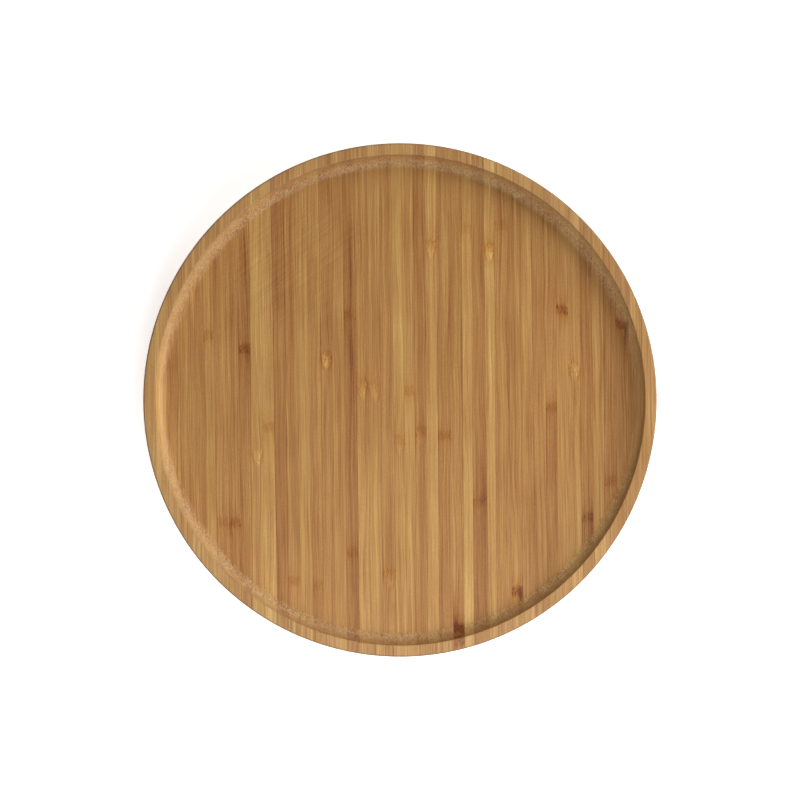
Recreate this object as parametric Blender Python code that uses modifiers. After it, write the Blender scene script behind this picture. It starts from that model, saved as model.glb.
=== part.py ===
"""Bamboo lazy susan: a rimmed tray that turns on a caged ball bearing over a round, rubber-footed base.

The tray is turned from one panel of laminated bamboo. Two pressed steel plates hold a ring of balls
between them: the lower plate is screwed to the base, and the upper plate to the tray. The upper plate's
tube is crimped under the lower plate's lip, which keeps the bearing together. A round hole through the
base lets a screwdriver reach the tray's screws, one at a time, as the tray is turned.

The origin is the centre of the base on the table, +Z is up, and the bamboo's fibres run along Y.
"""

import math

import bmesh
import bpy
from mathutils import Matrix

MM = 0.001

# Gaps that keep neighbouring solids apart
SEAT_GAP = 0.2 * MM
RUNNING_GAP = 0.15 * MM

# Tray
TRAY_RADIUS = 175 * MM
TRAY_HEIGHT = 17 * MM
RIM_WIDTH = 8 * MM
RECESS_DEPTH = 9 * MM
COVE_RADIUS = 8.5 * MM
WALL_DRAFT = math.radians(15)
RIM_INNER_ROUND = 0.5 * MM
RIM_OUTER_ROUND = 1.2 * MM
UNDERSIDE_ROUND = 5 * MM

# Base disc
BASE_RADIUS = 110 * MM
BASE_THICKNESS = 10 * MM
BASE_EDGE_ROUND = 2 * MM
ACCESS_HOLE_RADIUS = 9 * MM

# Rubber feet
FOOT_HEIGHT = 5 * MM
FOOT_TOP_RADIUS = 9 * MM
FOOT_BOTTOM_RADIUS = 8 * MM
FOOT_EDGE_ROUND = 1 * MM
FOOT_WEB = 2 * MM
FOOT_CIRCLE_RADIUS = 92 * MM
FOOT_COUNT = 4

# Bearing: a 4 inch square, 8 mm high, of 1 mm sheet round 3/16 inch balls
PLATE_SIDE = 102 * MM
PLATE_CORNER_ROUND = 6 * MM
SHEET = 1 * MM
BEARING_HEIGHT = 8 * MM
BALL_RADIUS = 2.38 * MM
BALL_COUNT = 16
RACE_RADIUS = 31 * MM
SHOULDER_DEPTH = 1.6 * MM
RAMP_INNER_RADIUS = 36 * MM
RAMP_OUTER_RADIUS = 38 * MM
LIP_RADIUS = 17.2 * MM
CRIMP_TUBE_RADIUS = 16.6 * MM
CRIMP_FLANGE_RADIUS = 19.6 * MM
CAGE_HALF_WIDTH = 3.2 * MM
CAGE_THICKNESS = 1.6 * MM
POCKET_RADIUS = 2.65 * MM

# Pan head wood screws, the same for the plates and the feet
SCREW_HEAD_RADIUS = 3.3 * MM
SCREW_HEAD_HEIGHT = 2 * MM
SCREW_SHANK_RADIUS = 1.4 * MM
SCREW_LENGTH = 7.5 * MM
SCREW_TIP = 2 * MM
DRIVE_LENGTH = 3.6 * MM
DRIVE_WIDTH = 0.8 * MM
DRIVE_DEPTH = 1.2 * MM
PILOT_RADIUS = 1.8 * MM
PLATE_HOLE_RADIUS = 2.2 * MM
PLATE_HOLE_PITCH = 85.7 * MM
SCREW_CIRCLE_RADIUS = PLATE_HOLE_PITCH / math.sqrt(2)
DIAGONALS = [math.radians(45 + 90 * k) for k in range(4)]

# Heights, from the table up
BASE_BOTTOM = FOOT_HEIGHT + SEAT_GAP
BASE_TOP = BASE_BOTTOM + BASE_THICKNESS
BEARING_BOTTOM = BASE_TOP + SEAT_GAP
BEARING_TOP = BEARING_BOTTOM + BEARING_HEIGHT
BALL_CENTRE = (BEARING_BOTTOM + BEARING_TOP) / 2
TRAY_BOTTOM = BEARING_TOP + SEAT_GAP
TRAY_TOP = TRAY_BOTTOM + TRAY_HEIGHT

# Facets round a full turn
TRAY_SEGMENTS = 72
BASE_SEGMENTS = 60
BEARING_SEGMENTS = 40
CAGE_SEGMENTS = 32
FOOT_SEGMENTS = 16
SCREW_SEGMENTS = 8
HOLE_SEGMENTS = 10
CUT_MARGIN = 1 * MM
MERGE_DISTANCE = 0.001 * MM
SHARP_ANGLE = math.radians(35)


# ---------------------------------------------------------------- scene helpers


def clear_scene():
    for obj in list(bpy.data.objects):
        bpy.data.objects.remove(obj, do_unlink=True)


def new_collection(name):
    collection = bpy.data.collections.new(name)
    bpy.context.scene.collection.children.link(collection)
    return collection


def material(name, colour, roughness, metallic=0.0):
    made = bpy.data.materials.new(name)
    made.use_nodes = True
    shader = made.node_tree.nodes["Principled BSDF"]
    shader.inputs["Base Color"].default_value = (*colour, 1.0)
    shader.inputs["Roughness"].default_value = roughness
    shader.inputs["Metallic"].default_value = metallic
    return made


def place(name, mesh, collection, location=(0, 0, 0), rotation=(0, 0, 0)):
    obj = bpy.data.objects.new(name, mesh)
    obj.location = location
    obj.rotation_euler = rotation
    collection.objects.link(obj)
    return obj


def empty(name, collection):
    """The axis of a moving group, at the origin, because everything turns about Z there."""
    made = bpy.data.objects.new(name, None)
    collection.objects.link(made)
    return made


def settle(obj, surface):
    """Swaps the object's mesh for what its modifiers make of it, shaded smooth between sharp edges."""
    graph = bpy.context.evaluated_depsgraph_get()
    mesh = bpy.data.meshes.new_from_object(obj.evaluated_get(graph))
    obj.modifiers.clear()
    obj.data = mesh
    mesh.name = obj.name
    mesh.shade_smooth()
    mesh.set_sharp_from_angle(angle=SHARP_ANGLE)
    mesh.materials.clear()
    mesh.materials.append(surface)
    return obj


# ---------------------------------------------------------------- profiles, as (radius, height)


def arc(centre, radius, start, end, steps):
    """Points along an arc, with its angles in degrees from +radius towards +height."""
    angles = [math.radians(start + (end - start) * k / steps) for k in range(steps + 1)]
    return [(centre[0] + radius * math.cos(a), centre[1] + radius * math.sin(a)) for a in angles]


def offset_path(path, distance):
    """The path moved to its right by the distance, mitred at its corners."""
    moved = []
    for k, (r, z) in enumerate(path):
        before = path[max(k - 1, 0)]
        after = path[min(k + 1, len(path) - 1)]
        arriving = math.atan2(z - before[1], r - before[0]) if k > 0 else None
        leaving = math.atan2(after[1] - z, after[0] - r) if k < len(path) - 1 else None
        first = leaving if arriving is None else arriving
        last = arriving if leaving is None else leaving
        turn = math.remainder(last - first, math.tau)
        heading = first + turn / 2 - math.pi / 2
        reach = distance / math.cos(turn / 2)
        moved.append((r + reach * math.cos(heading), z + reach * math.sin(heading)))
    return moved


def sheet_outline(path, thickness):
    """The closed outline of a sheet that has the path as one face and lies to the path's right."""
    outline = path + offset_path(path, thickness)[::-1]
    following = outline[1:] + outline[:1]
    area = sum(a[0] * b[1] - b[0] * a[1] for a, b in zip(outline, following))
    return outline[::-1] if area > 0 else outline


def turned(name, profile, segments, collection, closed=False):
    """A profile turned about Z. It runs down its outer side, and a closed one joins its own start."""
    edges = [(k, k + 1) for k in range(len(profile) - 1)]
    if closed:
        edges.append((len(profile) - 1, 0))
    mesh = bpy.data.meshes.new(name)
    mesh.from_pydata([(r, 0, z) for r, z in profile], edges, [])
    obj = place(name, mesh, collection)
    screw = obj.modifiers.new("Turn", "SCREW")
    screw.axis = "Z"
    screw.steps = segments
    screw.render_steps = segments
    screw.use_merge_vertices = True
    screw.merge_threshold = MERGE_DISTANCE
    return obj


# ---------------------------------------------------------------- cutters


def cylinder_cutter(name, radius, low, high, centre_radius, angle, segments, cutters):
    """An upright cylinder at a radius and angle from the axis, with a flat side facing outwards, so that
    none of its edges lies on a facet's edge."""
    mesh = bpy.data.meshes.new(name)
    shape = bmesh.new()
    bmesh.ops.create_cone(
        shape, cap_ends=True, segments=segments, radius1=radius, radius2=radius, depth=high - low
    )
    shape.to_mesh(mesh)
    shape.free()
    x, y = around(centre_radius, angle)
    # The cylinder's first edge is made at +Y.
    turn = (0, 0, angle + math.pi / segments - math.pi / 2)
    return as_cutter(place(name, mesh, cutters, (x, y, (low + high) / 2), turn))


def box_cutter(name, size, centre, cutters):
    mesh = bpy.data.meshes.new(name)
    shape = bmesh.new()
    bmesh.ops.create_cube(shape, size=1.0, matrix=Matrix.Diagonal((*size, 1)))
    shape.to_mesh(mesh)
    shape.free()
    return as_cutter(place(name, mesh, cutters, centre))


def as_cutter(obj):
    obj.hide_render = True
    obj.display_type = "WIRE"
    return obj


def cut(obj, cutter, operation="DIFFERENCE"):
    boolean = obj.modifiers.new(cutter.name, "BOOLEAN")
    boolean.operation = operation
    boolean.object = cutter
    boolean.solver = "EXACT"


def around(radius, angle):
    return radius * math.cos(angle), radius * math.sin(angle)


# ---------------------------------------------------------------- the tray


def tray_profile():
    """Half of the dish's section, from the middle of its floor out over the rim and back under it."""
    floor = TRAY_TOP - RECESS_DEPTH
    edge = TRAY_RADIUS - RIM_WIDTH
    arc_end = 90 - math.degrees(WALL_DRAFT)
    cove_rise = COVE_RADIUS * (1 - math.cos(math.radians(arc_end)))
    cove_run = COVE_RADIUS * math.sin(math.radians(arc_end))
    wall_run = (RECESS_DEPTH - cove_rise) * math.tan(WALL_DRAFT)
    cove_start = edge - wall_run - cove_run
    inner = arc(
        (edge + RIM_INNER_ROUND, TRAY_TOP - RIM_INNER_ROUND), RIM_INNER_ROUND, 165, 90, 2
    )
    outer = arc(
        (TRAY_RADIUS - RIM_OUTER_ROUND, TRAY_TOP - RIM_OUTER_ROUND), RIM_OUTER_ROUND, 90, 0, 3
    )
    under = arc(
        (TRAY_RADIUS - UNDERSIDE_ROUND, TRAY_BOTTOM + UNDERSIDE_ROUND), UNDERSIDE_ROUND, 0, -90, 4
    )
    cove = arc((cove_start, floor + COVE_RADIUS), COVE_RADIUS, -90, arc_end - 90, 5)
    return [(0, floor)] + cove + inner + outer + under + [(0, TRAY_BOTTOM)]


def make_tray(parts, cutters, surface):
    tray = turned("tray", tray_profile(), TRAY_SEGMENTS, parts)
    depth = SCREW_LENGTH - SHEET
    for k, angle in enumerate(DIAGONALS):
        cut(
            tray,
            cylinder_cutter(
                f"tray_pilot_{k + 1}",
                PILOT_RADIUS,
                TRAY_BOTTOM - CUT_MARGIN,
                TRAY_BOTTOM + depth,
                SCREW_CIRCLE_RADIUS,
                angle,
                HOLE_SEGMENTS,
                cutters,
            ),
        )
    return settle(tray, surface)


# ---------------------------------------------------------------- the base and its feet


def foot_angles():
    return [math.radians(45 + 360 * k / FOOT_COUNT) for k in range(FOOT_COUNT)]


def make_base(parts, cutters, surface):
    top = arc(
        (BASE_RADIUS - BASE_EDGE_ROUND, BASE_TOP - BASE_EDGE_ROUND), BASE_EDGE_ROUND, 90, 0, 3
    )
    bottom = arc(
        (BASE_RADIUS - BASE_EDGE_ROUND, BASE_BOTTOM + BASE_EDGE_ROUND), BASE_EDGE_ROUND, 0, -90, 3
    )
    profile = [(0, BASE_TOP)] + top + bottom + [(0, BASE_BOTTOM)]
    base = turned("base_disc", profile, BASE_SEGMENTS, parts)
    plate_screw_tip = BEARING_BOTTOM + SHEET - SCREW_LENGTH
    foot_screw_tip = FOOT_HEIGHT - FOOT_WEB + SCREW_LENGTH
    for k, angle in enumerate(DIAGONALS):
        cut(
            base,
            cylinder_cutter(
                f"plate_pilot_{k + 1}",
                PILOT_RADIUS,
                plate_screw_tip - SEAT_GAP,
                BASE_TOP + CUT_MARGIN,
                SCREW_CIRCLE_RADIUS,
                angle,
                HOLE_SEGMENTS,
                cutters,
            ),
        )
    for k, angle in enumerate(foot_angles()):
        cut(
            base,
            cylinder_cutter(
                f"foot_pilot_{k + 1}",
                PILOT_RADIUS,
                BASE_BOTTOM - CUT_MARGIN,
                foot_screw_tip + SEAT_GAP,
                FOOT_CIRCLE_RADIUS,
                angle,
                HOLE_SEGMENTS,
                cutters,
            ),
        )
    cut(
        base,
        cylinder_cutter(
            "access_hole",
            ACCESS_HOLE_RADIUS,
            BASE_BOTTOM - CUT_MARGIN,
            BASE_TOP + CUT_MARGIN,
            SCREW_CIRCLE_RADIUS,
            0,
            2 * FOOT_SEGMENTS,
            cutters,
        ),
    )
    return settle(base, surface)


def foot_mesh(parts, surface):
    """A tapered rubber foot, counterbored from below for its screw's head, on the foot's own axis."""
    head_space = SCREW_HEAD_RADIUS + 4 * SEAT_GAP
    web_bottom = FOOT_HEIGHT - FOOT_WEB
    edge = arc(
        (FOOT_BOTTOM_RADIUS - FOOT_EDGE_ROUND, FOOT_EDGE_ROUND), FOOT_EDGE_ROUND, 0, -90, 2
    )
    profile = (
        [(PILOT_RADIUS, FOOT_HEIGHT), (FOOT_TOP_RADIUS, FOOT_HEIGHT)]
        + edge
        + [(head_space, 0), (head_space, web_bottom), (PILOT_RADIUS, web_bottom)]
    )
    foot = turned("foot", profile, FOOT_SEGMENTS, parts, closed=True)
    mesh = settle(foot, surface).data
    bpy.data.objects.remove(foot)
    return mesh


def make_feet(parts, surface):
    mesh = foot_mesh(parts, surface)
    return [
        place(f"rubber_foot_{k + 1}", mesh, parts, (*around(FOOT_CIRCLE_RADIUS, angle), 0))
        for k, angle in enumerate(foot_angles())
    ]


# ---------------------------------------------------------------- the bearing


def race_path(centre_height, flat_height, side):
    """The ball side of a plate from outside its corners to the race's inner shoulder. side is -1 for the
    lower plate, under the balls, and 1 for the upper plate."""
    shoulder = centre_height + side * SHOULDER_DEPTH
    groove = BALL_RADIUS + RUNNING_GAP
    spread = math.degrees(math.asin(SHOULDER_DEPTH / groove))
    corner = PLATE_SIDE * math.sqrt(0.5) + CUT_MARGIN
    path = [(corner, flat_height), (RAMP_OUTER_RADIUS, flat_height), (RAMP_INNER_RADIUS, shoulder)]
    return path + arc((RACE_RADIUS, centre_height), groove, side * spread, side * (180 - spread), 6)


def plate_blank(name, path, thickness, parts, cutters, surface):
    """A turned sheet trimmed to a square with round corners, with a screw hole in each corner."""
    plate = turned(name, sheet_outline(path, thickness), BEARING_SEGMENTS, parts, closed=True)
    trim = box_cutter(
        f"{name}_trim",
        (PLATE_SIDE, PLATE_SIDE, 3 * BEARING_HEIGHT),
        (0, 0, BALL_CENTRE),
        cutters,
    )
    round_upright_edges(trim, PLATE_CORNER_ROUND)
    cut(plate, trim, "INTERSECT")
    for k, angle in enumerate(DIAGONALS):
        cut(
            plate,
            cylinder_cutter(
                f"{name}_hole_{k + 1}",
                PLATE_HOLE_RADIUS,
                BEARING_BOTTOM - CUT_MARGIN,
                BEARING_TOP + CUT_MARGIN,
                SCREW_CIRCLE_RADIUS,
                angle,
                HOLE_SEGMENTS,
                cutters,
            ),
        )
    return settle(plate, surface)


def round_upright_edges(obj, radius):
    shape = bmesh.new()
    shape.from_mesh(obj.data)
    upright = [e for e in shape.edges if abs(e.verts[0].co.z - e.verts[1].co.z) > radius]
    bmesh.ops.bevel(
        shape, geom=upright, offset=radius, offset_type="OFFSET", segments=3, affect="EDGES", profile=0.5
    )
    shape.to_mesh(obj.data)
    shape.free()


def make_lower_plate(parts, cutters, surface):
    """Screwed to the base. Its inner lip is raised, so that the upper plate's crimp fits under it."""
    path = race_path(BALL_CENTRE, BEARING_BOTTOM + SHEET, -1)
    path.append((LIP_RADIUS, path[-1][1]))
    # The sheet lies on the path's right as the path runs outwards, so it is read from the lip out.
    return plate_blank("lower_bearing_plate", path[::-1], SHEET, parts, cutters, surface)


def make_upper_plate(parts, cutters, surface):
    """Screwed to the tray. Its middle is drawn down into a tube and crimped out under the lower lip."""
    path = race_path(BALL_CENTRE, BEARING_TOP - SHEET, 1)
    lip_underside = BALL_CENTRE - SHOULDER_DEPTH - SHEET
    flange_top = lip_underside - 2 * RUNNING_GAP
    path.append((CRIMP_TUBE_RADIUS, path[-1][1]))
    path.append((CRIMP_TUBE_RADIUS, flange_top))
    path.append((CRIMP_FLANGE_RADIUS, flange_top))
    return plate_blank("upper_bearing_plate", path, SHEET, parts, cutters, surface)


def make_cage(parts, cutters, surface):
    """The flat ring that keeps the balls evenly spaced."""
    low = BALL_CENTRE - CAGE_THICKNESS / 2
    high = BALL_CENTRE + CAGE_THICKNESS / 2
    inner = RACE_RADIUS - CAGE_HALF_WIDTH
    outer = RACE_RADIUS + CAGE_HALF_WIDTH
    profile = [(inner, high), (outer, high), (outer, low), (inner, low)]
    cage = turned("ball_cage", profile, CAGE_SEGMENTS, parts, closed=True)
    for k in range(BALL_COUNT):
        cut(
            cage,
            cylinder_cutter(
                f"cage_pocket_{k + 1}",
                POCKET_RADIUS,
                low - CUT_MARGIN,
                high + CUT_MARGIN,
                RACE_RADIUS,
                math.tau * k / BALL_COUNT,
                HOLE_SEGMENTS,
                cutters,
            ),
        )
    return settle(cage, surface)


def make_balls(parts, surface):
    mesh = bpy.data.meshes.new("ball")
    shape = bmesh.new()
    bmesh.ops.create_uvsphere(shape, u_segments=10, v_segments=6, radius=BALL_RADIUS)
    shape.to_mesh(mesh)
    shape.free()
    mesh.shade_smooth()
    mesh.materials.append(surface)
    balls = []
    for k in range(BALL_COUNT):
        x, y = around(RACE_RADIUS, math.tau * k / BALL_COUNT)
        balls.append(place(f"ball_{k + 1:02d}", mesh, parts, (x, y, BALL_CENTRE)))
    return balls


# ---------------------------------------------------------------- fasteners


def screw_mesh(parts, cutters, surface):
    """A pan head screw with a cross recess. It points down, and its head rests on its own z = 0."""
    shoulder = 0.55 * SCREW_HEAD_HEIGHT
    head = [(0, SCREW_HEAD_HEIGHT), (0.6 * SCREW_HEAD_RADIUS, SCREW_HEAD_HEIGHT)]
    head += [(0.9 * SCREW_HEAD_RADIUS, shoulder + 0.2 * SCREW_HEAD_HEIGHT), (SCREW_HEAD_RADIUS, shoulder)]
    head += [(SCREW_HEAD_RADIUS, 0)]
    shank = [(SCREW_SHANK_RADIUS, 0), (SCREW_SHANK_RADIUS, SCREW_TIP - SCREW_LENGTH), (0, -SCREW_LENGTH)]
    screw = turned("screw", head + shank, SCREW_SEGMENTS, parts)
    centre = (0, 0, SCREW_HEAD_HEIGHT)
    for k, size in enumerate(((DRIVE_LENGTH, DRIVE_WIDTH), (DRIVE_WIDTH, DRIVE_LENGTH))):
        cut(screw, box_cutter(f"cross_recess_{k + 1}", (*size, 2 * DRIVE_DEPTH), centre, cutters))
    mesh = settle(screw, surface).data
    bpy.data.objects.remove(screw)
    return mesh


def make_screws(mesh, parts):
    """(screws that turn with the tray, screws that stay with the base)."""
    upright = (0, 0, 0)
    flipped = (math.pi, 0, 0)
    tray_seat = BEARING_TOP - SHEET - RUNNING_GAP
    base_seat = BEARING_BOTTOM + SHEET + RUNNING_GAP
    foot_seat = FOOT_HEIGHT - FOOT_WEB - RUNNING_GAP
    tray_screws = []
    base_screws = []
    for k, angle in enumerate(DIAGONALS):
        x, y = around(SCREW_CIRCLE_RADIUS, angle)
        tray_screws.append(place(f"tray_screw_{k + 1}", mesh, parts, (x, y, tray_seat), flipped))
        base_screws.append(place(f"base_screw_{k + 1}", mesh, parts, (x, y, base_seat), upright))
    for k, angle in enumerate(foot_angles()):
        x, y = around(FOOT_CIRCLE_RADIUS, angle)
        base_screws.append(place(f"foot_screw_{k + 1}", mesh, parts, (x, y, foot_seat), flipped))
    return tray_screws, base_screws


# ---------------------------------------------------------------- assembly


def main():
    clear_scene()
    parts = new_collection("lazy_susan")
    cutters = new_collection("cutters")
    bamboo = material("bamboo", (0.42, 0.22, 0.08), 0.5)
    steel = material("galvanised_steel", (0.62, 0.63, 0.64), 0.4, 1.0)
    bright = material("bearing_steel", (0.75, 0.75, 0.76), 0.15, 1.0)
    zinc = material("zinc_screw", (0.68, 0.68, 0.66), 0.35, 1.0)
    nylon = material("nylon", (0.78, 0.77, 0.72), 0.45)
    rubber = material("rubber", (0.03, 0.03, 0.03), 0.8)

    base_group = [make_base(parts, cutters, bamboo), make_lower_plate(parts, cutters, steel)]
    base_group += make_feet(parts, rubber)
    ring_group = [make_cage(parts, cutters, nylon)] + make_balls(parts, bright)
    tray_group = [make_tray(parts, cutters, bamboo), make_upper_plate(parts, cutters, steel)]
    tray_screws, base_screws = make_screws(screw_mesh(parts, cutters, zinc), parts)

    groups = {
        "base_axis": base_group + base_screws,
        "ball_ring_axis": ring_group,
        "tray_axis": tray_group + tray_screws,
    }
    for name, members in groups.items():
        axis = empty(name, parts)
        for member in members:
            member.parent = axis


main()
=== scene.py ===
"""The looks of the bamboo lazy susan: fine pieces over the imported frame, materials, camera and studio."""

import math
import random
from types import SimpleNamespace

import bmesh
import bpy
from mathutils import Matrix, Vector


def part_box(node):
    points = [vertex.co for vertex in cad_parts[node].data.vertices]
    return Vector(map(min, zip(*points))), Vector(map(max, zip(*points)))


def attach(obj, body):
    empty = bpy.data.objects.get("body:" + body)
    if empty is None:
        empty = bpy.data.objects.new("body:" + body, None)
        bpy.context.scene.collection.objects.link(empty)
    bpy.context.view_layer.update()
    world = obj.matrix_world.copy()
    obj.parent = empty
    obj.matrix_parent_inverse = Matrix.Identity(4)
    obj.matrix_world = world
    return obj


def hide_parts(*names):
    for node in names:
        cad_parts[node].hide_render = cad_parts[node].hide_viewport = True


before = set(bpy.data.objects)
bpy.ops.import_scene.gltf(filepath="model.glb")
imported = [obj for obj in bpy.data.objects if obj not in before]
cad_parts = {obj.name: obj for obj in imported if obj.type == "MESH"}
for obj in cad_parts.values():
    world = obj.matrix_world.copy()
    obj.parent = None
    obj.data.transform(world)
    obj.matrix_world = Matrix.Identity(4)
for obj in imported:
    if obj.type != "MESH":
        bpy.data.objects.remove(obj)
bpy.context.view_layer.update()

MM = 0.001
TO_MM = 1000.0
COLLECTION = bpy.context.scene.collection


# ---------------------------------------------------------------- sizes read from the frame


def low(node):
    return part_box(node)[0]


def high(node):
    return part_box(node)[1]


def centre(node):
    lowest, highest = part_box(node)
    return (lowest + highest) / 2


TRAY_RADIUS = high("tray").x
TRAY_TOP = high("tray").z
TRAY_BOTTOM = low("tray").z
BASE_RADIUS = high("base_disc").x
BASE_TOP = high("base_disc").z
BASE_BOTTOM = low("base_disc").z
BEARING_TOP = high("upper_bearing_plate").z
BEARING_BOTTOM = low("lower_bearing_plate").z
PLATE_SIDE = 2 * high("upper_bearing_plate").x
BALL_CENTRE = (BEARING_TOP + BEARING_BOTTOM) / 2
RACE_RADIUS = centre("ball_01").x
BALL_RADIUS = high("ball_01").y
FOOT_HEIGHT = high("rubber_foot_1").z

# The same shapes as the CAD, where a box doesn't give them
RIM_WIDTH = 8 * MM
RECESS_DEPTH = 9 * MM
COVE_RADIUS = 8.5 * MM
WALL_DRAFT = math.radians(15)
RIM_INNER_ROUND = 0.5 * MM
RIM_OUTER_ROUND = 1.2 * MM
UNDERSIDE_ROUND = 5 * MM
BASE_EDGE_ROUND = 2 * MM
ACCESS_HOLE_RADIUS = 9 * MM
PILOT_RADIUS = 1.8 * MM
PILOT_SPARE = 0.2 * MM
SHEET = 1 * MM
SHOULDER_DEPTH = 1.6 * MM
RUNNING_GAP = 0.15 * MM
RAMP_INNER_RADIUS = 36 * MM
RAMP_OUTER_RADIUS = 38 * MM
LIP_RADIUS = 17.2 * MM
CRIMP_TUBE_RADIUS = 16.6 * MM
CRIMP_FLANGE_RADIUS = 19.6 * MM
PLATE_CORNER_ROUND = 6 * MM
PLATE_HOLE_RADIUS = 2.2 * MM
FOOT_TOP_RADIUS = 9 * MM
FOOT_BOTTOM_RADIUS = 8 * MM
FOOT_WEB = 2 * MM
SCREW_LENGTH = 7.5 * MM
SCREW_HEAD_RADIUS = 3.3 * MM
SCREW_HEAD_HEIGHT = 2 * MM
SCREW_SHANK_RADIUS = 1.4 * MM
SCREW_TIP = 2 * MM
BALL_COUNT = 16
POCKET_RADIUS = 2.65 * MM
POCKET_SEGMENTS = 40


# ---------------------------------------------------------------- the bamboo's strips

# The tray's glued strips from -X to +X: where each one ends (mm, at y = 0), how light it is towards +Y and
# towards -Y (-1 dark to 1 pale), and how yellow it is (-1 pink to 1 olive).
TRAY_STRIPS = [
    (-166.5, 0.10, 0.15, 0.3),
    (-158.4, 0.45, 0.40, 0.6),
    (-150.2, -0.10, -0.05, -0.1),
    (-142.6, 0.05, 0.00, 0.1),
    (-134.2, -0.20, 0.00, -0.2),
    (-126.6, 0.00, 0.25, 0.4),
    (-118.0, -0.05, -0.05, -0.4),
    (-109.9, -0.05, -0.20, -0.3),
    (-101.9, -0.35, -0.25, -0.3),
    (-94.0, 0.40, 0.45, 0.5),
    (-86.2, 0.40, 0.50, 0.4),
    (-77.8, -0.40, -0.45, -0.7),
    (-70.0, -0.15, 0.00, -0.2),
    (-61.5, 0.10, 0.15, 0.4),
    (-54.0, 0.05, 0.05, -0.1),
    (-46.0, -0.20, -0.20, -0.2),
    (-37.8, 0.05, 0.15, 0.0),
    (-29.5, -0.48, -0.42, -0.4),
    (-21.5, 0.00, 0.30, -0.1),
    (-13.0, 0.10, 0.25, 0.3),
    (-4.2, -0.05, 0.10, -0.1),
    (2.8, 0.40, 0.35, 0.5),
    (10.2, 0.15, 0.30, 0.2),
    (18.0, -0.35, -0.10, -0.3),
    (25.8, 0.50, 0.55, 0.2),
    (34.5, -0.15, -0.10, -0.1),
    (43.0, -0.15, 0.05, 0.1),
    (49.6, 0.45, 0.60, 0.2),
    (58.8, -0.20, -0.40, -0.2),
    (65.3, 0.45, 0.45, 0.4),
    (75.0, -0.05, -0.05, -0.2),
    (83.0, -0.10, -0.10, 0.1),
    (91.0, 0.00, -0.05, -0.1),
    (99.6, -0.25, -0.20, -0.3),
    (107.2, -0.25, -0.45, -0.2),
    (115.2, 0.05, 0.15, -0.1),
    (123.6, 0.15, 0.15, 0.2),
    (131.6, -0.50, -0.45, -0.4),
    (139.4, 0.05, 0.25, 0.5),
    (147.8, -0.20, -0.30, -0.1),
    (156.3, -0.30, -0.20, 0.0),
    (164.5, -0.20, -0.20, 0.0),
    (176.0, -0.10, -0.05, -0.1),
]

# The culm's knuckles on the tray's strips: x and y (mm), how dark, how pale a flame, and how strongly the
# dark colour trails off towards -Y (negative: towards +Y).
TRAY_KNUCKLES = [
    (-130, 44, 0.45, 0.00, 0.0),
    (-106, 35, 0.78, 0.00, 0.9),
    (-50, 31, 0.30, 1.00, 0.8),
    (-34, 58, 0.30, 0.20, 0.3),
    (-25, 11, 0.35, 0.60, 0.0),
    (-17, 9, 0.25, 0.50, 0.0),
    (21, 107, 0.45, 0.60, 0.1),
    (45, 118, 0.30, 0.20, 0.0),
    (62, 105, 0.55, 0.80, 0.0),
    (70, 120, 0.25, 0.10, 0.0),
    (111, 62, 1.00, 0.00, 0.0),
    (120, 23, 0.15, 0.80, 0.0),
    (152, 52, 0.75, 0.00, 1.3),
    (6, 6, 0.45, 0.00, 0.0),
    (103, -4, 0.42, 0.00, 0.6),
    (-91, -19, 0.45, 0.10, 0.0),
    (-98, -35, 0.10, 0.70, 0.0),
    (-122, -84, 0.40, 0.10, 0.2),
    (-114, -84, 0.55, 0.10, 0.3),
    (-34, -104, 0.36, 0.00, 0.1),
    (-74, -124, 0.50, 0.15, 0.0),
    (-57, -127, 0.35, 0.20, 0.0),
    (-9, -119, 0.40, 0.50, -0.4),
    (-1, -27, 0.35, 0.35, 0.0),
    (14, -22, 0.42, 0.20, -0.2),
    (30, -24, 0.50, 0.10, 0.1),
    (54, -70, 0.36, 0.35, -0.9),
    (128, -80, 0.45, 0.00, 0.3),
    (143, -55, 0.50, 0.00, 0.2),
    (79, -130, 1.15, 0.00, 1.0),
    (40, -156, 1.45, 0.00, -0.8),
    (40, -164, 0.90, 0.00, 1.0),
]
# How far a strip's edge leans towards +X for each mm along +Y, at the tray's two sides
STRIP_LEAN_LEFT = -0.016
STRIP_LEAN_RIGHT = -0.006
LEAN_SPREAD = 0.003
BEYOND_TRAY = 200.0

# The made-up strips of the base
STRIP_WIDTH = 8.1
WIDTH_SPREAD = 0.9
PLAIN_LEAN_SPREAD = 0.004
KNUCKLE_CHANCE = 0.55


def tray_strips(rng):
    """Each strip as (left edge, left lean, right edge, right lean, upper tone, lower tone, hue, seed)."""
    strips = []
    edge = TRAY_RADIUS * TO_MM
    left, lean = -BEYOND_TRAY, STRIP_LEAN_LEFT
    for right, upper, lower, hue in TRAY_STRIPS:
        share = (right + edge) / (2 * edge)
        right_lean = STRIP_LEAN_LEFT + (STRIP_LEAN_RIGHT - STRIP_LEAN_LEFT) * share
        right_lean += rng.uniform(-LEAN_SPREAD, LEAN_SPREAD)
        strips.append((left, lean, right, right_lean, upper, lower, hue, rng.random()))
        left, lean = right, right_lean
    return strips


def plain_strips(rng, half_width):
    """Made-up strips for a board, in the same form as the tray's."""
    strips = []
    left, lean = -half_width - STRIP_WIDTH, 0.0
    while left < half_width:
        right = left + STRIP_WIDTH + rng.uniform(-WIDTH_SPREAD, WIDTH_SPREAD)
        right_lean = rng.uniform(-PLAIN_LEAN_SPREAD, PLAIN_LEAN_SPREAD)
        upper = rng.uniform(-0.45, 0.45)
        lower = upper + rng.uniform(-0.2, 0.2)
        hue = rng.uniform(-0.5, 0.5)
        strips.append((left, lean, right, right_lean, upper, lower, hue, rng.random()))
        left, lean = right, right_lean
    return strips


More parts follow.
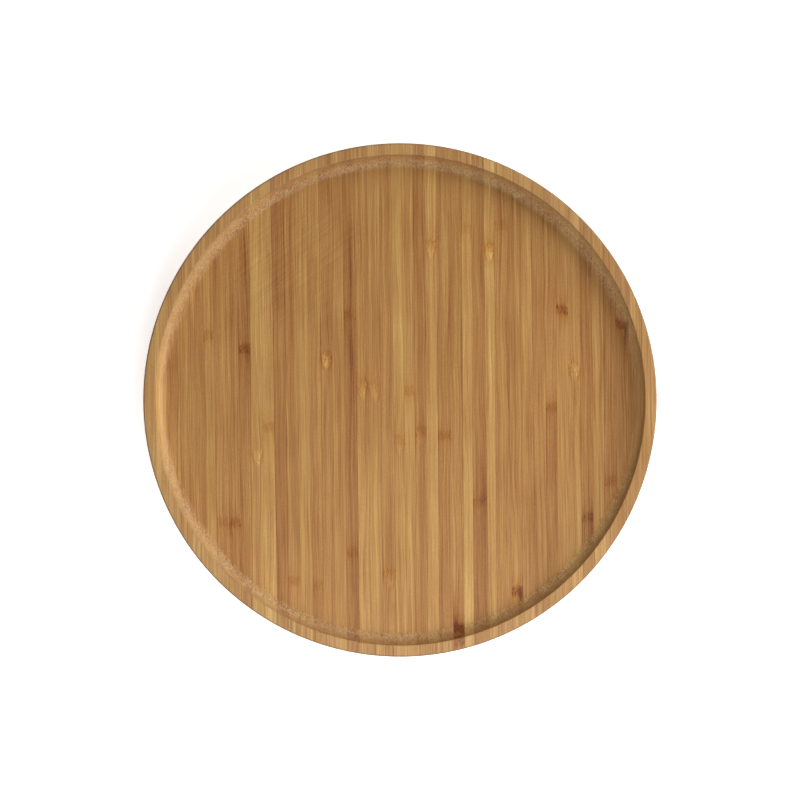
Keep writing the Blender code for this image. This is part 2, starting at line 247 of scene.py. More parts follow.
def plain_knuckles(rng, strips, half_width):
    """Made-up knuckles, in the same form as the tray's, on about half of the strips."""
    found = []
    for left, _, right, *_ in strips:
        if rng.random() < KNUCKLE_CHANCE:
            y = rng.uniform(-half_width, half_width)
            dark = rng.uniform(0.2, 0.8)
            pale = rng.uniform(0.0, 0.6)
            trail = rng.uniform(-0.5, 0.6)
            found.append(((left + right) / 2, y, dark, pale, trail))
    return found


# ---------------------------------------------------------------- mesh helpers


def arc(middle, radius, start, end, steps):
    angles = [math.radians(start + (end - start) * k / steps) for k in range(steps + 1)]
    return [(middle[0] + radius * math.cos(a), middle[1] + radius * math.sin(a)) for a in angles]


def link(name, mesh, location=(0, 0, 0), rotation=(0, 0, 0)):
    obj = bpy.data.objects.new(name, mesh)
    obj.location = location
    obj.rotation_euler = rotation
    COLLECTION.objects.link(obj)
    return obj


def link_shape(name, shape, location=(0, 0, 0), rotation=(0, 0, 0)):
    """The finished bmesh as an object."""
    mesh = bpy.data.meshes.new(name)
    shape.to_mesh(mesh)
    shape.free()
    return link(name, mesh, location, rotation)


def new_ring(shape, radii, z):
    """Vertices about Z, one for each radius."""
    angles = [math.tau * k / len(radii) for k in range(len(radii))]
    return [shape.verts.new((r * math.cos(a), r * math.sin(a), z)) for r, a in zip(radii, angles)]


def bridge(shape, first, second):
    """A band of faces between two rings."""
    for k in range(len(first)):
        n = (k + 1) % len(first)
        shape.faces.new((first[k], second[k], second[n], first[n]))


def lathe(name, profile, segments, closed=False):
    """A profile of (radius, height) turned about Z, running outwards over the top and back underneath. Open
    ends get flat caps."""
    shape = bmesh.new()
    rings = [new_ring(shape, [r] * segments, z) for r, z in profile]
    for first, second in zip(rings, rings[1:] + rings[:1] * closed):
        bridge(shape, first, second)
    if not closed:
        shape.faces.new(rings[0])
        shape.faces.new(rings[-1][::-1])
    bmesh.ops.recalc_face_normals(shape, faces=shape.faces)
    return link_shape(name, shape)


def cylinder(radius, bottom, top, x, y, segments=24, turn=0.0):
    shape = bmesh.new()
    bmesh.ops.create_cone(
        shape, cap_ends=True, segments=segments, radius1=radius, radius2=radius, depth=top - bottom
    )
    return link_shape("cutter", shape, (x, y, (bottom + top) / 2), (0, 0, turn))


def boolean(obj, cutters, operation="DIFFERENCE"):
    """Cuts the object with each cutter in turn, applies the cuts and removes the cutters."""
    for cutter in cutters:
        modifier = obj.modifiers.new("cut", "BOOLEAN")
        modifier.operation = operation
        modifier.object = cutter
        modifier.solver = "EXACT"
    apply_modifiers(obj)
    for cutter in cutters:
        bpy.data.objects.remove(cutter)


def apply_modifiers(obj):
    bpy.context.view_layer.update()
    graph = bpy.context.evaluated_depsgraph_get()
    mesh = bpy.data.meshes.new_from_object(obj.evaluated_get(graph))
    obj.modifiers.clear()
    obj.data = mesh
    mesh.name = obj.name


def smooth(obj, degrees=32):
    obj.data.shade_smooth()
    obj.data.set_sharp_from_angle(angle=math.radians(degrees))


def dress(obj, material, body, slot, *nodes):
    obj.data.materials.clear()
    obj.data.materials.append(material)
    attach(obj, body)
    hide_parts(*nodes)


def around(radius, angle):
    return radius * math.cos(angle), radius * math.sin(angle)


# ---------------------------------------------------------------- strips into the mesh

STRIP_ATTRIBUTES = ("strip_left", "strip_right", "strip_tone", "knuckle_a", "knuckle_b", "knuckle_trail")


def cut_into_strips(obj, strips, knuckles):
    """Cuts the mesh's faces along the strips' edges and writes on each face which strip it belongs to and
    that strip's two strongest knuckles."""
    shape = bmesh.new()
    shape.from_mesh(obj.data)
    for left, lean, *_ in strips[1:]:
        geometry = list(shape.verts) + list(shape.edges) + list(shape.faces)
        bmesh.ops.bisect_plane(
            shape,
            geom=geometry,
            dist=1e-6,
            plane_co=(left * MM, 0, 0),
            plane_no=Vector((1, -lean, 0)).normalized(),
        )
    shape.to_mesh(obj.data)
    shape.free()

    by_strip = [[] for _ in strips]
    for knuckle in sorted(knuckles, key=lambda k: -k[2] - k[3]):
        by_strip[strip_at(strips, knuckle[0], knuckle[1])].append(knuckle)
    values = {name: [] for name in STRIP_ATTRIBUTES}
    nowhere = (0.0, 1000.0, 0.0, 0.0, 0.0)
    for face in obj.data.polygons:
        x, y = face.center.x * TO_MM, face.center.y * TO_MM
        k = strip_at(strips, x, y)
        left, lean, right, right_lean, upper, lower, hue, seed = strips[k]
        a, b = (by_strip[k] + [nowhere, nowhere])[:2]
        values["strip_left"] += (left, lean, seed)
        values["strip_right"] += (right, right_lean, hue)
        values["strip_tone"] += (upper, lower, 0.0)
        values["knuckle_a"] += a[1:4]
        values["knuckle_b"] += b[1:4]
        values["knuckle_trail"] += (a[4], b[4], 0.0)
    for name, numbers in values.items():
        obj.data.attributes.new(name, "FLOAT_VECTOR", "FACE").data.foreach_set("vector", numbers)


def strip_at(strips, x, y):
    """The number of the strip that a point in mm is in."""
    for k, (_, _, right, lean, *_) in enumerate(strips):
        if x < right + lean * y:
            return k
    return len(strips) - 1


# ---------------------------------------------------------------- material graphs


class Graph:
    """Short words for building a material's nodes. A value is a socket, a number or a tuple."""

    def __init__(self, name):
        self.material = bpy.data.materials.new(name)
        self.material.use_nodes = True
        self.tree = self.material.node_tree
        self.shader = self.tree.nodes["Principled BSDF"]

    def node(self, kind, inputs=(), **settings):
        made = self.tree.nodes.new(kind)
        for key, value in settings.items():
            setattr(made, key, value)
        for key, value in dict(inputs).items():
            self.feed(made.inputs[key], value)
        return made

    def feed(self, socket, value):
        if isinstance(value, bpy.types.NodeSocket):
            self.tree.links.new(value, socket)
        elif isinstance(value, (tuple, list)) and len(value) == 3 and socket.type == "RGBA":
            socket.default_value = (*value, 1.0)
        else:
            socket.default_value = value

    def math(self, operation, *values, clamp=False):
        made = self.node("ShaderNodeMath", operation=operation, use_clamp=clamp)
        for socket, value in zip(made.inputs, values):
            self.feed(socket, value)
        return made.outputs[0]

    def add(self, *values):
        total = values[0]
        for value in values[1:]:
            total = self.math("ADD", total, value)
        return total

    def times(self, *values):
        total = values[0]
        for value in values[1:]:
            total = self.math("MULTIPLY", total, value)
        return total

    def minus(self, a, b):
        return self.math("SUBTRACT", a, b)

    def step(self, value, start, end, low_value=0.0, high_value=1.0):
        """Goes smoothly from low_value at start to high_value at end."""
        inputs = {0: value, 1: start, 2: end, 3: low_value, 4: high_value}
        return self.node("ShaderNodeMapRange", inputs, interpolation_type="SMOOTHSTEP").outputs[0]

    def vector(self, operation, *values):
        made = self.node("ShaderNodeVectorMath", operation=operation)
        for socket, value in zip(made.inputs, values):
            self.feed(socket, value)
        return made.outputs["Value" if operation == "LENGTH" else "Vector"]

    def from_axis(self, x, y):
        return self.math("SQRT", self.add(self.times(x, x), self.times(y, y)))

    def split(self, vector):
        return self.node("ShaderNodeSeparateXYZ", {0: vector}).outputs

    def join(self, x, y, z):
        return self.node("ShaderNodeCombineXYZ", {0: x, 1: y, 2: z}).outputs[0]

    def object_mm(self):
        coordinates = self.node("ShaderNodeTexCoord").outputs["Object"]
        return self.vector("MULTIPLY", coordinates, (TO_MM, TO_MM, TO_MM))

    def noise(self, vector, stretch, detail=2.0, roughness=0.5, distortion=0.0):
        placed = self.vector("MULTIPLY", vector, stretch)
        inputs = {"Vector": placed, "Scale": 1.0, "Detail": detail}
        inputs |= {"Roughness": roughness, "Distortion": distortion}
        return self.node("ShaderNodeTexNoise", inputs).outputs[0]

    def ripple(self, vector, stretch, **settings):
        """A noise about 0."""
        return self.minus(self.noise(vector, stretch, **settings), 0.5)

    def ramp(self, value, stops):
        made = self.node("ShaderNodeValToRGB", {0: value})
        ramp = made.color_ramp
        while len(ramp.elements) < len(stops):
            ramp.elements.new(1.0)
        for element, (position, colour) in zip(ramp.elements, stops):
            element.position = position
            element.color = (*colour, 1.0)
        return made.outputs[0]

    def mix(self, factor, a, b, blend="MIX"):
        made = self.node("ShaderNodeMix", data_type="RGBA", blend_type=blend)
        self.feed(made.inputs[0], factor)
        self.feed(made.inputs[6], a)
        self.feed(made.inputs[7], b)
        return made.outputs[2]

    def attribute(self, name):
        made = self.node("ShaderNodeAttribute", attribute_type="GEOMETRY", attribute_name=name)
        return made.outputs["Vector"]

    def bump(self, height, strength, distance):
        inputs = {"Height": height, "Strength": strength, "Distance": distance}
        return self.node("ShaderNodeBump", inputs).outputs[0]

    def finish(self, colour=None, roughness=None, normal=None, **constants):
        for key, value in (("Base Color", colour), ("Roughness", roughness), ("Normal", normal)):
            if value is not None:
                self.feed(self.shader.inputs[key], value)
        for key, value in constants.items():
            self.shader.inputs[key.replace("_", " ")].default_value = value
        return self.material


def srgb(r, g, b):
    """A colour of 0 to 255 as the linear values that nodes take."""
    return tuple(
        v / 12.92 if v <= 0.04045 else ((v + 0.055) / 1.055) ** 2.4 for v in (r / 255, g / 255, b / 255)
    )


# ---------------------------------------------------------------- bamboo

TRAY_EDGE_MM = TRAY_RADIUS * TO_MM
RECESS_EDGE_MM = (TRAY_RADIUS - RIM_WIDTH) * TO_MM
SANDING_ANGLE = math.radians(52)
SANDING_MIDDLE = (-72.0, 98.0, 32.0)
BAMBOO_TONES = [
    (0.00, srgb(106, 61, 23)),
    (0.20, srgb(141, 93, 44)),
    (0.36, srgb(159, 112, 60)),
    (0.50, srgb(171, 126, 71)),
    (0.65, srgb(185, 143, 82)),
    (0.80, srgb(199, 158, 95)),
    (1.00, srgb(218, 182, 118)),
]


def strip_of(g, point):
    """The strip that a point is in: how far across it the point lies (u from 0 to 1, side from 0 in the
    middle to 1 at the edges, edge in mm), its tone, hue and seed, and its own place in the noises."""
    x, y, z = g.split(point)
    left, lean, seed = g.split(g.attribute("strip_left"))
    right, right_lean, hue = g.split(g.attribute("strip_right"))
    upper, lower, _ = g.split(g.attribute("strip_tone"))
    from_left = g.minus(x, g.add(left, g.times(lean, y)))
    from_right = g.minus(g.add(right, g.times(right_lean, y)), x)
    u = g.math("DIVIDE", from_left, g.add(from_left, from_right))
    side = g.math("ABSOLUTE", g.minus(g.times(u, 2.0), 1.0))
    edge = g.math("MINIMUM", from_left, from_right)
    tone = g.add(lower, g.times(g.minus(upper, lower), g.step(y, -70.0, 50.0)))
    offset = g.join(g.times(seed, 531.0), g.times(seed, 877.0), g.times(seed, 213.0))
    own = g.vector("ADD", point, offset)
    return SimpleNamespace(x=x, y=y, z=z, u=u, side=side, edge=edge, tone=tone, hue=hue, seed=seed, own=own)


def knuckle(g, strip, place, trail, speckle, wander):
    """(how dark, how pale, how golden, how swirled) a strip is near one knuckle."""
    at_y, dark, pale = g.split(place)
    v = g.add(g.minus(strip.y, at_y), g.times(wander, 5.0))
    distance = g.math("ABSOLUTE", v)
    band = g.times(g.step(distance, 5.5, 0.5), g.step(strip.side, 1.05, 0.55, 0.35, 1.0))
    halo = g.step(distance, 17.0, 2.0)
    specks = g.times(
        g.step(speckle, 0.47, 0.62),
        g.step(distance, 4.6, 1.6),
        g.step(strip.side, 0.0, 0.9, 0.45, 1.0),
    )

    # The dark colour trails off along one edge of the strip.
    sideways = g.times(v, g.math("SIGN", trail))
    trail_edge = g.step(strip.seed, 0.49, 0.51, 0.08, 0.92)
    at_edge = g.step(g.math("ABSOLUTE", g.minus(strip.u, trail_edge)), 0.48, 0.04)
    tail = g.times(
        g.math("ABSOLUTE", trail),
        g.step(sideways, -40.0, 0.0),
        g.step(sideways, 3.0, -2.0),
        g.add(g.times(at_edge, 0.75), 0.25),
        g.add(0.45, g.times(speckle, 0.8)),
    )

    # A pale flame narrows to a point below the knuckle, inside a dark outline.
    narrowing = g.add(1.0, g.times(g.math("MINIMUM", v, 0.0), 0.05))
    from_outline = g.minus(strip.side, narrowing)
    within = g.times(g.step(v, -12.0, -7.0), g.step(v, 3.0, -1.0))
    flame = g.times(within, g.step(from_outline, 0.02, -0.30), g.step(speckle, 0.36, 0.60, 0.1, 1.0))
    outline = g.times(within, g.step(g.math("ABSOLUTE", from_outline), 0.32, 0.06), pale)

    marks = g.add(g.times(band, 0.42), g.times(halo, 0.16), g.times(specks, 0.90), g.times(tail, 0.65))
    darkness = g.add(g.times(dark, marks), g.times(outline, 0.30))
    golden = g.times(
        g.step(distance, 12.0, 3.0),
        g.step(speckle, 0.35, 0.60, 0.3, 1.0),
        g.add(dark, g.times(pale, 0.4)),
    )
    swirl = g.times(g.step(distance, 13.0, 1.0), g.add(dark, pale))
    return darkness, g.times(pale, flame), golden, swirl


def grain(g, strip, swirl):
    """The pattern along a strip's fibres, which drift slowly and swirl round the knuckles."""
    own = strip.own
    drift = g.ripple(own, (0.010, 0.012, 0.010), detail=1.0)
    wave = g.ripple(own, (0.22, 0.12, 0.22), detail=2.0)
    shift = g.add(g.times(drift, 5.0), g.times(wave, swirl, 5.0), g.times(strip.y, -0.011))
    fibre_point = g.vector("ADD", own, g.join(g.times(shift, -1.0), 0.0, 0.0))
    return SimpleNamespace(
        bands=g.ripple(fibre_point, (0.30, 0.0045, 0.30), detail=1.0),
        streaks=g.ripple(fibre_point, (0.82, 0.0055, 0.82), detail=2.0, roughness=0.6),
        fibres=g.ripple(fibre_point, (2.0, 0.014, 2.0), detail=2.0, roughness=0.6),
        dashes=g.ripple(fibre_point, (2.9, 0.032, 2.9), detail=2.0, roughness=0.6),
        grit=g.ripple(own, (2.6, 0.75, 2.6), detail=1.0),
        veins=g.step(g.noise(fibre_point, (0.62, 0.0060, 0.62), detail=1.0), 0.60, 0.70),
        pores=g.step(g.noise(fibre_point, (4.6, 0.10, 4.6), detail=1.0), 0.60, 0.72),
        along=g.ripple(own, (0.02, 0.014, 0.02), detail=2.0),
    )


def turned_surface(g, point, normal, strip):
    """Which part of a turned piece a point is on, and how far the surface there cuts across the fibres."""
    normal_x, normal_y, _ = g.split(normal)
    across = g.math("ABSOLUTE", normal_y)
    radius = g.from_axis(strip.x, strip.y)
    inside = g.step(radius, RECESS_EDGE_MM + 0.6, RECESS_EDGE_MM + 0.4)
    below_top = g.minus(TRAY_TOP * TO_MM, strip.z)
    near_top = g.step(below_top, 2.6, 0.8)
    flecks = g.noise(point, (0.50, 0.34, 0.50), detail=1.0, roughness=0.7, distortion=1.8)
    return SimpleNamespace(
        ends=g.step(across, 0.03, 0.32),
        steep=g.step(across, 0.55, 0.90),
        inside=inside,
        slanting=g.times(g.step(g.math("ABSOLUTE", normal_x), 0.25, 0.80), inside),
        squiggles=g.step(g.math("ABSOLUTE", g.minus(flecks, 0.5)), 0.10, 0.02),
        dots=g.step(g.noise(point, (2.3, 0.08, 2.3), detail=1.0), 0.52, 0.64),
        on_rim=g.times(g.step(radius, RECESS_EDGE_MM - 0.5, RECESS_EDGE_MM + 1.0), near_top),
        # Painted shade: the corner mask darkens the line where the rim meets the wall.
        corner=g.times(
            g.step(g.math("ABSOLUTE", g.minus(radius, RECESS_EDGE_MM - 0.1)), 0.65, 0.15), near_top
        ),
        # Painted shade: a grey-brown line along the rim's rounded outer edge.
        outer_edge_shade=g.times(
            g.step(radius, TRAY_EDGE_MM - 1.4, TRAY_EDGE_MM - 0.5), g.step(below_top, 1.6, 0.9)
        ),
    )


def bamboo_tone(g, point, strip, lines, surface, dark, pale, seam):
    """How light the wood is, from 0 to 1 along BAMBOO_TONES."""
    total = g.add(
        0.50,
        g.times(strip.tone, 0.29),
        g.times(lines.along, 0.34),
        g.times(lines.bands, 0.36),
        g.times(lines.streaks, 0.42),
        g.times(lines.fibres, 0.41),
        g.times(lines.dashes, 0.66),
        g.times(lines.grit, 0.28),
        g.times(lines.veins, -0.14),
        g.times(lines.pores, -0.05),
        g.times(dark, -0.42),
        g.times(pale, g.add(0.34, g.times(lines.fibres, 1.2))),
    )
    turned = {"Vector": point, "Angle": SANDING_ANGLE}
    across = g.node("ShaderNodeVectorRotate", turned, rotation_type="Z_AXIS").outputs[0]
    sanding = g.ripple(across, (0.85, 0.015, 0.4), detail=2.0, roughness=0.65)
    sanded = g.step(g.vector("LENGTH", g.vector("SUBTRACT", point, SANDING_MIDDLE)), 70.0, 20.0)
    total = g.minus(g.add(total, g.times(sanding, sanded, 0.26)), seam)

    # Where the surface shows the fibres' ends: pale flecks inside the recess's radius, and outside it dots,
    # which are darker towards the culm's skin
    ends, inside, steep = surface.ends, surface.inside, surface.steep
    skin = g.add(-0.08, g.times(strip.u, -0.22))
    return g.add(
        total,
        g.times(ends, inside, g.minus(1.0, steep), g.add(g.times(surface.squiggles, 0.30), -0.16)),
        g.times(steep, inside, -0.04),
        g.times(ends, g.minus(1.0, inside), g.add(g.times(surface.dots, skin), 0.02)),
        g.times(surface.on_rim, g.add(g.times(lines.fibres, 0.35), g.times(lines.streaks, 0.55))),
    )


def bamboo_colour(g, point, total, strip, lines, surface, dark, golden):
    """The tone's colour: strip hues, amber knuckles, dry ends, a painted sheen and painted shade on the rim.
    """
    yellow = g.add(
        g.times(strip.hue, 0.35),
        0.5,
        g.times(lines.streaks, 1.1),
        g.times(lines.fibres, 1.4),
        g.times(lines.veins, -0.4),
    )
    colour = g.ramp(total, BAMBOO_TONES)
    colour = g.mix(0.9, colour, g.mix(yellow, srgb(255, 242, 236), srgb(251, 251, 240)), "MULTIPLY")
    amber = g.math("MULTIPLY", golden, 0.55, clamp=True)
    colour = g.mix(amber, colour, srgb(255, 236, 200), "MULTIPLY")
    brown = g.math("MULTIPLY", dark, 0.75, clamp=True)
    colour = g.mix(brown, colour, srgb(255, 224, 112), "MULTIPLY")

    # Cut across the fibres the wood is drier, with pale squiggles inside the recess. Cut slanting along them
    # it is yellower.
    clear = g.minus(1.0, g.math("MULTIPLY", dark, 1.0, clamp=True))
    washed = g.times(surface.ends, g.minus(1.0, g.times(surface.steep, 0.5)), clear)
    patches = g.step(g.noise(point, (0.16, 0.16, 0.16), detail=1.0), 0.35, 0.62, 0.25, 1.0)
    pale_ends = g.times(washed, surface.inside, surface.squiggles, patches, 0.56)
    colour = g.mix(g.times(washed, 0.22), colour, srgb(158, 124, 88))
    colour = g.mix(pale_ends, colour, srgb(196, 164, 118))
    colour = g.mix(g.times(surface.slanting, 0.26), colour, srgb(198, 164, 108))

    # The rim gets a painted sheen, a little paler and greyer, and painted shade: darker in the corner where
    # it meets the wall and along its outer edge.
    # Painted sheen: the rim's top is mixed towards a paler, greyer colour.
    rim_sheen = g.times(surface.on_rim, g.add(0.45, lines.along))
    colour = g.mix(g.math("MULTIPLY", rim_sheen, 0.38, clamp=True), colour, srgb(206, 172, 122))
    # Painted shade in the corner where the rim meets the wall.
    colour = g.mix(g.times(surface.corner, 0.25), colour, srgb(122, 80, 42))
    # Painted shade along the rim's rounded outer edge.
    return g.mix(g.times(surface.outer_edge_shade, 0.55), colour, srgb(112, 92, 68))


def bamboo(name):
    """Oiled bamboo strips on edge. Everything is a solid pattern along Y, so that cuts across the fibres
    show their ends."""
    g = Graph(name)
    coordinates = g.node("ShaderNodeTexCoord").outputs
    point = g.vector("MULTIPLY", coordinates["Object"], (TO_MM, TO_MM, TO_MM))
    strip = strip_of(g, point)
    speckle = g.noise(strip.own, (0.95, 0.50, 0.95), detail=3.0, roughness=0.6, distortion=0.8)
    wander = g.ripple(strip.own, (0.28, 0.02, 0.28), detail=1.0)
    trail_a, trail_b, _ = g.split(g.attribute("knuckle_trail"))
    near_a = knuckle(g, strip, g.attribute("knuckle_a"), trail_a, speckle, wander)
    near_b = knuckle(g, strip, g.attribute("knuckle_b"), trail_b, speckle, wander)
    dark, pale, golden, swirl = (g.add(a, b) for a, b in zip(near_a, near_b))
    lines = grain(g, strip, swirl)
    surface = turned_surface(g, point, coordinates["Normal"], strip)
    seam_strength = g.step(g.noise(strip.own, (0.0, 0.02, 0.0), detail=2.0), 0.35, 0.70, 0.02, 0.20)
    seam = g.times(g.step(strip.edge, 0.60, 0.05), seam_strength)

    total = bamboo_tone(g, point, strip, lines, surface, dark, pale, seam)
    colour = bamboo_colour(g, point, total, strip, lines, surface, dark, golden)
    roughness = g.add(
        0.42,
        g.times(g.noise(point, (0.035, 0.02, 0.035), detail=3.0), 0.16),
        g.times(lines.fibres, -0.16),
        g.times(lines.pores, 0.14),
        g.times(seam, 0.6),
        g.times(surface.ends, 0.10),
    )
    height = g.add(
        g.times(lines.fibres, 0.55),
        g.times(lines.streaks, 0.35),
        g.times(lines.pores, -0.5),
        g.times(seam, -2.0),
        g.times(speckle, swirl, 0.5),
        g.times(surface.squiggles, surface.ends, 1.4),
        g.times(lines.fibres, surface.slanting, 2.0),
    )
    return g.finish(colour, roughness, g.bump(height, 0.30, 0.12 * MM), Specular_IOR_Level=0.40)


# ---------------------------------------------------------------- metal, nylon and rubber


def galvanised(name):
    """Zinc-coated sheet: a spangle of dull crystals, rolled lines and a polished track under the balls."""
    g = Graph(name)
    point = g.object_mm()
    x, y, _ = g.split(point)
    spangle = g.node("ShaderNodeTexVoronoi", {"Vector": point, "Scale": 0.28, "Randomness": 1.0})
    crystal = g.split(spangle.outputs["Color"])[0]
    cloud = g.noise(point, (0.05, 0.05, 0.05), detail=3.0)
    lines = g.noise(point, (0.05, 3.0, 0.05), detail=2.0)
    track = g.step(g.math("ABSOLUTE", g.minus(g.from_axis(x, y), RACE_RADIUS * TO_MM)), 2.0, 0.6)
    grime = g.step(cloud, 0.55, 0.75)
    tone = g.add(0.3, g.times(crystal, 0.3), g.times(lines, 0.14), g.times(cloud, 0.2), g.times(track, 0.2))
    greys = [(0.0, srgb(138, 140, 143)), (0.5, srgb(186, 188, 190)), (1.0, srgb(224, 225, 224))]
    colour = g.ramp(tone, greys)
    colour = g.mix(g.times(grime, 0.35), colour, srgb(122, 116, 104))
    roughness = g.add(0.34, g.times(crystal, 0.14), g.times(grime, 0.18), g.times(track, -0.16))
    height = g.add(g.times(crystal, 0.5), g.times(lines, 0.5))
    return g.finish(colour, roughness, g.bump(height, 0.15, 0.05 * MM), Metallic=1.0)


def ball_steel(name):
    """Polished steel with fine scratches and a thin film of grease."""
    g = Graph(name)
    point = g.object_mm()
    film = g.noise(point, (0.6, 0.6, 0.6), detail=3.0)
    scratches = g.noise(point, (5.0, 0.6, 0.6), detail=2.0, distortion=1.2)
    tints = [(0.35, srgb(196, 197, 198)), (0.6, srgb(216, 216, 214)), (0.8, srgb(190, 180, 158))]
    colour = g.ramp(film, tints)
    roughness = g.add(0.10, g.times(g.step(film, 0.45, 0.7), 0.16), g.times(scratches, 0.08))
    return g.finish(colour, roughness, g.bump(scratches, 0.06, 0.02 * MM), Metallic=1.0)


def zinc(name):
    """Zinc plate with a faint yellow pass, brighter along its worn edges."""
    g = Graph(name)
    point = g.object_mm()
    patches = g.noise(point, (0.5, 0.5, 0.5), detail=3.0)
    grain = g.noise(point, (6.0, 6.0, 6.0), detail=2.0)
    pointiness = g.node("ShaderNodeNewGeometry").outputs["Pointiness"]
    worn = g.step(pointiness, 0.52, 0.58)
    tints = [(0.3, srgb(176, 178, 178)), (0.55, srgb(200, 200, 194)), (0.75, srgb(206, 196, 160))]
    colour = g.ramp(patches, tints)
    colour = g.mix(g.times(worn, 0.5), colour, srgb(222, 222, 218))
    roughness = g.add(0.26, g.times(grain, 0.16), g.times(patches, 0.10))
    return g.finish(colour, roughness, g.bump(grain, 0.12, 0.03 * MM), Metallic=1.0)


def nylon(name):
    """Moulded natural nylon with flow marks and a smear of grease."""
    g = Graph(name)
    point = g.object_mm()
    flow = g.noise(point, (0.12, 0.12, 0.4), detail=3.0, distortion=0.8)
    grain = g.noise(point, (7.0, 7.0, 7.0), detail=2.0)
    grease = g.step(g.noise(point, (0.2, 0.2, 0.2), detail=2.0), 0.52, 0.70)
    creams = [(0.3, srgb(216, 211, 196)), (0.6, srgb(230, 227, 214)), (0.8, srgb(221, 213, 190))]
    colour = g.ramp(flow, creams)
    colour = g.mix(g.times(grease, 0.35), colour, srgb(176, 156, 112))
    roughness = g.add(0.44, g.times(grain, 0.14), g.times(grease, -0.18))
    return g.finish(colour, roughness, g.bump(grain, 0.15, 0.03 * MM), Specular_IOR_Level=0.45)


def rubber(name):
    """Black rubber, scuffed and dusty towards its sole."""
    g = Graph(name)
    point = g.object_mm()
    _, _, z = g.split(point)
    grain = g.noise(point, (5.0, 5.0, 5.0), detail=3.0)
    dust = g.noise(point, (0.5, 0.5, 0.5), detail=4.0, roughness=0.65)
    scuff = g.times(g.step(dust, 0.45, 0.70), g.step(z, 2.5, 0.2, 0.25, 1.0))
    colour = g.ramp(grain, [(0.3, srgb(34, 34, 35)), (0.7, srgb(50, 49, 49))])
    colour = g.mix(g.times(scuff, 0.5), colour, srgb(112, 106, 98))
    roughness = g.add(0.62, g.times(grain, 0.20), g.times(scuff, 0.12))
    normal = g.bump(g.add(grain, g.times(dust, 0.5)), 0.30, 0.06 * MM)
    return g.finish(colour, roughness, normal, Specular_IOR_Level=0.35)


# ---------------------------------------------------------------- wooden pieces

TRAY_SEGMENTS = 288
BASE_SEGMENTS = 192
DIAGONALS = [math.radians(45 + 90 * k) for k in range(4)]
SCREW_CIRCLE = math.hypot(*(centre("tray_screw_1").xy))
FOOT_CIRCLE = math.hypot(*(centre("rubber_foot_1").xy))


def tray_profile():
    """The dish's section, from its floor out over the rim and back under it, with a ring just inside each
    flat's edge so that flats stay flat when shaded."""
    floor = TRAY_TOP - RECESS_DEPTH
    edge = TRAY_RADIUS - RIM_WIDTH
    arc_end = 90 - math.degrees(WALL_DRAFT)
    rise = COVE_RADIUS * (1 - math.cos(math.radians(arc_end)))
    run = COVE_RADIUS * math.sin(math.radians(arc_end))
    cove_start = edge - (RECESS_DEPTH - rise) * math.tan(WALL_DRAFT) - run
    profile = [(cove_start - 1.2 * MM, floor)]
    profile += arc((cove_start, floor + COVE_RADIUS), COVE_RADIUS, -90, arc_end - 90, 12)
    profile += [(edge - 0.35 * MM, TRAY_TOP - 1.3 * MM)]
    profile += arc((edge + RIM_INNER_ROUND, TRAY_TOP - RIM_INNER_ROUND), RIM_INNER_ROUND, 165, 90, 4)
    profile += [(edge + 1.2 * MM, TRAY_TOP), (TRAY_RADIUS - RIM_OUTER_ROUND - 0.6 * MM, TRAY_TOP)]
    profile += arc((TRAY_RADIUS - RIM_OUTER_ROUND, TRAY_TOP - RIM_OUTER_ROUND), RIM_OUTER_ROUND, 90, 0, 6)
    profile += [(TRAY_RADIUS, TRAY_TOP - RIM_OUTER_ROUND - 0.6 * MM)]
    under = arc((TRAY_RADIUS - UNDERSIDE_ROUND, TRAY_BOTTOM + UNDERSIDE_ROUND), UNDERSIDE_ROUND, 0, -90, 10)
    profile += [(TRAY_RADIUS, under[0][1] + 0.6 * MM)] + under
    profile += [(TRAY_RADIUS - UNDERSIDE_ROUND - 1.2 * MM, TRAY_BOTTOM)]
    return profile


def make_tray(wood):
    tray = lathe("tray_bamboo", tray_profile(), TRAY_SEGMENTS)
    top = TRAY_BOTTOM + SCREW_LENGTH - SHEET
    holes = [cylinder(PILOT_RADIUS, TRAY_BOTTOM - MM, top, *around(SCREW_CIRCLE, a)) for a in DIAGONALS]
    boolean(tray, holes)
    strips = tray_strips(random.Random(11))
    cut_into_strips(tray, strips, TRAY_KNUCKLES)
    smooth(tray)
    dress(tray, wood, "tray", "bamboo", "tray")


def make_base(wood):
    edge = BASE_EDGE_ROUND
    profile = [(BASE_RADIUS - edge - 1.2 * MM, BASE_TOP)]
    profile += arc((BASE_RADIUS - edge, BASE_TOP - edge), edge, 90, 0, 7)
    profile += arc((BASE_RADIUS - edge, BASE_BOTTOM + edge), edge, 0, -90, 7)
    profile += [(BASE_RADIUS - edge - 1.2 * MM, BASE_BOTTOM)]
    base = lathe("base_bamboo", profile, BASE_SEGMENTS)
    over, under = BASE_TOP + MM, BASE_BOTTOM - MM
    plate_tip = BEARING_BOTTOM + SHEET - SCREW_LENGTH - PILOT_SPARE
    foot_tip = FOOT_HEIGHT - FOOT_WEB + SCREW_LENGTH + PILOT_SPARE
    cutters = [cylinder(PILOT_RADIUS, plate_tip, over, *around(SCREW_CIRCLE, a)) for a in DIAGONALS]
    cutters += [cylinder(PILOT_RADIUS, under, foot_tip, *around(FOOT_CIRCLE, a)) for a in DIAGONALS]
    cutters.append(cylinder(ACCESS_HOLE_RADIUS, under, over, SCREW_CIRCLE, 0, 64))
    boolean(base, cutters)
    rng = random.Random(23)
    strips = plain_strips(rng, BASE_RADIUS * TO_MM)
    cut_into_strips(base, strips, plain_knuckles(rng, strips, BASE_RADIUS * TO_MM))
    smooth(base)
    dress(base, wood, "base", "bamboo", "base_disc")


# ---------------------------------------------------------------- bearing

BEARING_SEGMENTS = 144
BALL_ANGLES = [math.tau * k / BALL_COUNT for k in range(BALL_COUNT)]


